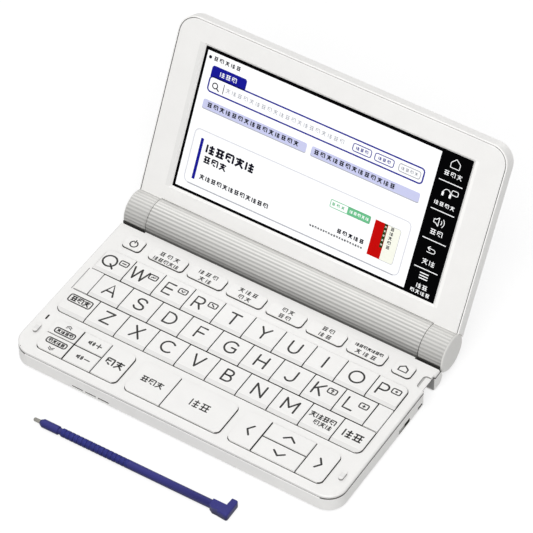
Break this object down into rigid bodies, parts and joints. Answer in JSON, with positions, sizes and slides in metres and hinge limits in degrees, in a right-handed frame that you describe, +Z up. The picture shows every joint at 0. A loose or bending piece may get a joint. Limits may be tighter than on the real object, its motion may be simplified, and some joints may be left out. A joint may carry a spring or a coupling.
{
  "type": "electronic dictionary",
  "caption": "Clamshell pocket dictionary with a hinged screen lid on a battery barrel, a letter keyboard in the base and a loose stylus.",
  "frame": {"origin": "centre of the base's plan on the flat underside of the lower case; the feet reach 0.6 mm below it", "axes": "+X to the user's right along the hinge, +Y to the rear, +Z up; the lid stands open at rest"},
  "size_m": [0.148, 0.1535, 0.088],
  "materials": {
    "case_plastic": "satin white",
    "key_plastic": "satin white",
    "barrel_plastic": "fine ribs, silver grey",
    "screen_glass": "black glass over a lit panel",
    "cell_metal": "satin",
    "board": "solder mask green",
    "sheet_rubber": "matte",
    "stylus_plastic": "navy blue"
  },
  "bodies": {
    "base": {"lower_case": "case_plastic", "upper_case": "case_plastic", "barrel_shell": "barrel_plastic", "batteries": "cell_metal", "main_board": "board", "key_sheet": "sheet_rubber"},
    "lid": {"lid_cover": "case_plastic", "lid_bezel": "case_plastic", "display_module": "screen_glass", "hinge_knuckles": "barrel_plastic"},
    "battery_door": {"battery_cover": "barrel_plastic"},
    "stylus_body": {"stylus": "stylus_plastic"},
    "key_a_cap": {"key_a": "key_plastic"},
    "key_b_cap": {"key_b": "key_plastic"},
    "key_back_cap": {"key_back": "key_plastic"},
    "key_book_1_cap": {"key_book_1": "key_plastic"},
    "key_book_2_cap": {"key_book_2": "key_plastic"},
    "key_book_3_cap": {"key_book_3": "key_plastic"},
    "key_book_4_cap": {"key_book_4": "key_plastic"},
    "key_book_5_cap": {"key_book_5": "key_plastic"},
    "key_book_6_cap": {"key_book_6": "key_plastic"},
    "key_c_cap": {"key_c": "key_plastic"},
    "key_d_cap": {"key_d": "key_plastic"},
    "key_delete_cap": {"key_delete": "key_plastic"},
    "key_down_cap": {"key_down": "key_plastic"},
    "key_e_cap": {"key_e": "key_plastic"},
    "key_enter_cap": {"key_enter": "key_plastic"},
    "key_f_cap": {"key_f": "key_plastic"},
    "key_g_cap": {"key_g": "key_plastic"},
    "key_h_cap": {"key_h": "key_plastic"},
    "key_history_cap": {"key_history": "key_plastic"},
    "key_home_cap": {"key_home": "key_plastic"},
    "key_i_cap": {"key_i": "key_plastic"},
    "key_j_cap": {"key_j": "key_plastic"},
    "key_k_cap": {"key_k": "key_plastic"},
    "key_l_cap": {"key_l": "key_plastic"},
    "key_left_cap": {"key_left": "key_plastic"},
    "key_m_cap": {"key_m": "key_plastic"},
    "key_n_cap": {"key_n": "key_plastic"},
    "key_next_cap": {"key_next": "key_plastic"},
    "key_o_cap": {"key_o": "key_plastic"},
    "key_p_cap": {"key_p": "key_plastic"},
    "key_power_cap": {"key_power": "key_plastic"},
    "key_previous_cap": {"key_previous": "key_plastic"},
    "key_q_cap": {"key_q": "key_plastic"},
    "key_r_cap": {"key_r": "key_plastic"},
    "key_right_cap": {"key_right": "key_plastic"},
    "key_s_cap": {"key_s": "key_plastic"},
    "key_shift_cap": {"key_shift": "key_plastic"},
    "key_space_cap": {"key_space": "key_plastic"},
    "key_t_cap": {"key_t": "key_plastic"},
    "key_u_cap": {"key_u": "key_plastic"},
    "key_up_cap": {"key_up": "key_plastic"},
    "key_v_cap": {"key_v": "key_plastic"},
    "key_volume_down_cap": {"key_volume_down": "key_plastic"},
    "key_volume_up_cap": {"key_volume_up": "key_plastic"},
    "key_w_cap": {"key_w": "key_plastic"},
    "key_x_cap": {"key_x": "key_plastic"},
    "key_y_cap": {"key_y": "key_plastic"},
    "key_z_cap": {"key_z": "key_plastic"}
  },
  "joints": [
    {"name": "lid_hinge", "type": "hinge", "parent": "base", "child": "lid", "pos_m": [0, 0.0392, 0.01], "axis": [1, 0, 0], "range_deg": [-44, 116]},
    {"name": "battery_door_slide", "type": "slide", "parent": "base", "child": "battery_door", "axis": [0, 1, 0], "range_m": [0, 0.012]},
    {"name": "stylus_lift", "type": "slide", "parent": "base", "child": "stylus_body", "axis": [0, 0, 1], "range_m": [0, 0.02]},
    {"name": "key_a_press", "type": "slide", "parent": "base", "child": "key_a_cap", "axis": [0, 0, -1], "range_m": [0, 0.0006], "stiffness_N_per_m": 500, "springref_m": -0.0004},
    {"name": "key_b_press", "type": "slide", "parent": "base", "child": "key_b_cap", "axis": [0, 0, -1], "range_m": [0, 0.0006], "stiffness_N_per_m": 500, "springref_m": -0.0004},
    {"name": "key_back_press", "type": "slide", "parent": "base", "child": "key_back_cap", "axis": [0, 0, -1], "range_m": [0, 0.0006], "stiffness_N_per_m": 500, "springref_m": -0.0004},
    {"name": "key_book_1_press", "type": "slide", "parent": "base", "child": "key_book_1_cap", "axis": [0, 0, -1], "range_m": [0, 0.0006], "stiffness_N_per_m": 500, "springref_m": -0.0004},
    {"name": "key_book_2_press", "type": "slide", "parent": "base", "child": "key_book_2_cap", "axis": [0, 0, -1], "range_m": [0, 0.0006], "stiffness_N_per_m": 500, "springref_m": -0.0004},
    {"name": "key_book_3_press", "type": "slide", "parent": "base", "child": "key_book_3_cap", "axis": [0, 0, -1], "range_m": [0, 0.0006], "stiffness_N_per_m": 500, "springref_m": -0.0004},
    {"name": "key_book_4_press", "type": "slide", "parent": "base", "child": "key_book_4_cap", "axis": [0, 0, -1], "range_m": [0, 0.0006], "stiffness_N_per_m": 500, "springref_m": -0.0004},
    {"name": "key_book_5_press", "type": "slide", "parent": "base", "child": "key_book_5_cap", "axis": [0, 0, -1], "range_m": [0, 0.0006], "stiffness_N_per_m": 500, "springref_m": -0.0004},
    {"name": "key_book_6_press", "type": "slide", "parent": "base", "child": "key_book_6_cap", "axis": [0, 0, -1], "range_m": [0, 0.0006], "stiffness_N_per_m": 500, "springref_m": -0.0004},
    {"name": "key_c_press", "type": "slide", "parent": "base", "child": "key_c_cap", "axis": [0, 0, -1], "range_m": [0, 0.0006], "stiffness_N_per_m": 500, "springref_m": -0.0004},
    {"name": "key_d_press", "type": "slide", "parent": "base", "child": "key_d_cap", "axis": [0, 0, -1], "range_m": [0, 0.0006], "stiffness_N_per_m": 500, "springref_m": -0.0004},
    {"name": "key_delete_press", "type": "slide", "parent": "base", "child": "key_delete_cap", "axis": [0, 0, -1], "range_m": [0, 0.0006], "stiffness_N_per_m": 500, "springref_m": -0.0004},
    {"name": "key_down_press", "type": "slide", "parent": "base", "child": "key_down_cap", "axis": [0, 0, -1], "range_m": [0, 0.0006], "stiffness_N_per_m": 500, "springref_m": -0.0004},
    {"name": "key_e_press", "type": "slide", "parent": "base", "child": "key_e_cap", "axis": [0, 0, -1], "range_m": [0, 0.0006], "stiffness_N_per_m": 500, "springref_m": -0.0004},
    {"name": "key_enter_press", "type": "slide", "parent": "base", "child": "key_enter_cap", "axis": [0, 0, -1], "range_m": [0, 0.0006], "stiffness_N_per_m": 500, "springref_m": -0.0004},
    {"name": "key_f_press", "type": "slide", "parent": "base", "child": "key_f_cap", "axis": [0, 0, -1], "range_m": [0, 0.0006], "stiffness_N_per_m": 500, "springref_m": -0.0004},
    {"name": "key_g_press", "type": "slide", "parent": "base", "child": "key_g_cap", "axis": [0, 0, -1], "range_m": [0, 0.0006], "stiffness_N_per_m": 500, "springref_m": -0.0004},
    {"name": "key_h_press", "type": "slide", "parent": "base", "child": "key_h_cap", "axis": [0, 0, -1], "range_m": [0, 0.0006], "stiffness_N_per_m": 500, "springref_m": -0.0004},
    {"name": "key_history_press", "type": "slide", "parent": "base", "child": "key_history_cap", "axis": [0, 0, -1], "range_m": [0, 0.0006], "stiffness_N_per_m": 500, "springref_m": -0.0004},
    {"name": "key_home_press", "type": "slide", "parent": "base", "child": "key_home_cap", "axis": [0, 0, -1], "range_m": [0, 0.0006], "stiffness_N_per_m": 500, "springref_m": -0.0004},
    {"name": "key_i_press", "type": "slide", "parent": "base", "child": "key_i_cap", "axis": [0, 0, -1], "range_m": [0, 0.0006], "stiffness_N_per_m": 500, "springref_m": -0.0004},
    {"name": "key_j_press", "type": "slide", "parent": "base", "child": "key_j_cap", "axis": [0, 0, -1], "range_m": [0, 0.0006], "stiffness_N_per_m": 500, "springref_m": -0.0004},
    {"name": "key_k_press", "type": "slide", "parent": "base", "child": "key_k_cap", "axis": [0, 0, -1], "range_m": [0, 0.0006], "stiffness_N_per_m": 500, "springref_m": -0.0004},
    {"name": "key_l_press", "type": "slide", "parent": "base", "child": "key_l_cap", "axis": [0, 0, -1], "range_m": [0, 0.0006], "stiffness_N_per_m": 500, "springref_m": -0.0004},
    {"name": "key_left_press", "type": "slide", "parent": "base", "child": "key_left_cap", "axis": [0, 0, -1], "range_m": [0, 0.0006], "stiffness_N_per_m": 500, "springref_m": -0.0004},
    {"name": "key_m_press", "type": "slide", "parent": "base", "child": "key_m_cap", "axis": [0, 0, -1], "range_m": [0, 0.0006], "stiffness_N_per_m": 500, "springref_m": -0.0004},
    {"name": "key_n_press", "type": "slide", "parent": "base", "child": "key_n_cap", "axis": [0, 0, -1], "range_m": [0, 0.0006], "stiffness_N_per_m": 500, "springref_m": -0.0004},
    {"name": "key_next_press", "type": "slide", "parent": "base", "child": "key_next_cap", "axis": [0, 0, -1], "range_m": [0, 0.0006], "stiffness_N_per_m": 500, "springref_m": -0.0004},
    {"name": "key_o_press", "type": "slide", "parent": "base", "child": "key_o_cap", "axis": [0, 0, -1], "range_m": [0, 0.0006], "stiffness_N_per_m": 500, "springref_m": -0.0004},
    {"name": "key_p_press", "type": "slide", "parent": "base", "child": "key_p_cap", "axis": [0, 0, -1], "range_m": [0, 0.0006], "stiffness_N_per_m": 500, "springref_m": -0.0004},
    {"name": "key_power_press", "type": "slide", "parent": "base", "child": "key_power_cap", "axis": [0, 0, -1], "range_m": [0, 0.0006], "stiffness_N_per_m": 500, "springref_m": -0.0004},
    {"name": "key_previous_press", "type": "slide", "parent": "base", "child": "key_previous_cap", "axis": [0, 0, -1], "range_m": [0, 0.0006], "stiffness_N_per_m": 500, "springref_m": -0.0004},
    {"name": "key_q_press", "type": "slide", "parent": "base", "child": "key_q_cap", "axis": [0, 0, -1], "range_m": [0, 0.0006], "stiffness_N_per_m": 500, "springref_m": -0.0004},
    {"name": "key_r_press", "type": "slide", "parent": "base", "child": "key_r_cap", "axis": [0, 0, -1], "range_m": [0, 0.0006], "stiffness_N_per_m": 500, "springref_m": -0.0004},
    {"name": "key_right_press", "type": "slide", "parent": "base", "child": "key_right_cap", "axis": [0, 0, -1], "range_m": [0, 0.0006], "stiffness_N_per_m": 500, "springref_m": -0.0004},
    {"name": "key_s_press", "type": "slide", "parent": "base", "child": "key_s_cap", "axis": [0, 0, -1], "range_m": [0, 0.0006], "stiffness_N_per_m": 500, "springref_m": -0.0004},
    {"name": "key_shift_press", "type": "slide", "parent": "base", "child": "key_shift_cap", "axis": [0, 0, -1], "range_m": [0, 0.0006], "stiffness_N_per_m": 500, "springref_m": -0.0004},
    {"name": "key_space_press", "type": "slide", "parent": "base", "child": "key_space_cap", "axis": [0, 0, -1], "range_m": [0, 0.0006], "stiffness_N_per_m": 500, "springref_m": -0.0004},
    {"name": "key_t_press", "type": "slide", "parent": "base", "child": "key_t_cap", "axis": [0, 0, -1], "range_m": [0, 0.0006], "stiffness_N_per_m": 500, "springref_m": -0.0004},
    {"name": "key_u_press", "type": "slide", "parent": "base", "child": "key_u_cap", "axis": [0, 0, -1], "range_m": [0, 0.0006], "stiffness_N_per_m": 500, "springref_m": -0.0004},
    {"name": "key_up_press", "type": "slide", "parent": "base", "child": "key_up_cap", "axis": [0, 0, -1], "range_m": [0, 0.0006], "stiffness_N_per_m": 500, "springref_m": -0.0004},
    {"name": "key_v_press", "type": "slide", "parent": "base", "child": "key_v_cap", "axis": [0, 0, -1], "range_m": [0, 0.0006], "stiffness_N_per_m": 500, "springref_m": -0.0004},
    {"name": "key_volume_down_press", "type": "slide", "parent": "base", "child": "key_volume_down_cap", "axis": [0, 0, -1], "range_m": [0, 0.0006], "stiffness_N_per_m": 500, "springref_m": -0.0004},
    {"name": "key_volume_up_press", "type": "slide", "parent": "base", "child": "key_volume_up_cap", "axis": [0, 0, -1], "range_m": [0, 0.0006], "stiffness_N_per_m": 500, "springref_m": -0.0004},
    {"name": "key_w_press", "type": "slide", "parent": "base", "child": "key_w_cap", "axis": [0, 0, -1], "range_m": [0, 0.0006], "stiffness_N_per_m": 500, "springref_m": -0.0004},
    {"name": "key_x_press", "type": "slide", "parent": "base", "child": "key_x_cap", "axis": [0, 0, -1], "range_m": [0, 0.0006], "stiffness_N_per_m": 500, "springref_m": -0.0004},
    {"name": "key_y_press", "type": "slide", "parent": "base", "child": "key_y_cap", "axis": [0, 0, -1], "range_m": [0, 0.0006], "stiffness_N_per_m": 500, "springref_m": -0.0004},
    {"name": "key_z_press", "type": "slide", "parent": "base", "child": "key_z_cap", "axis": [0, 0, -1], "range_m": [0, 0.0006], "stiffness_N_per_m": 500, "springref_m": -0.0004}
  ]
}
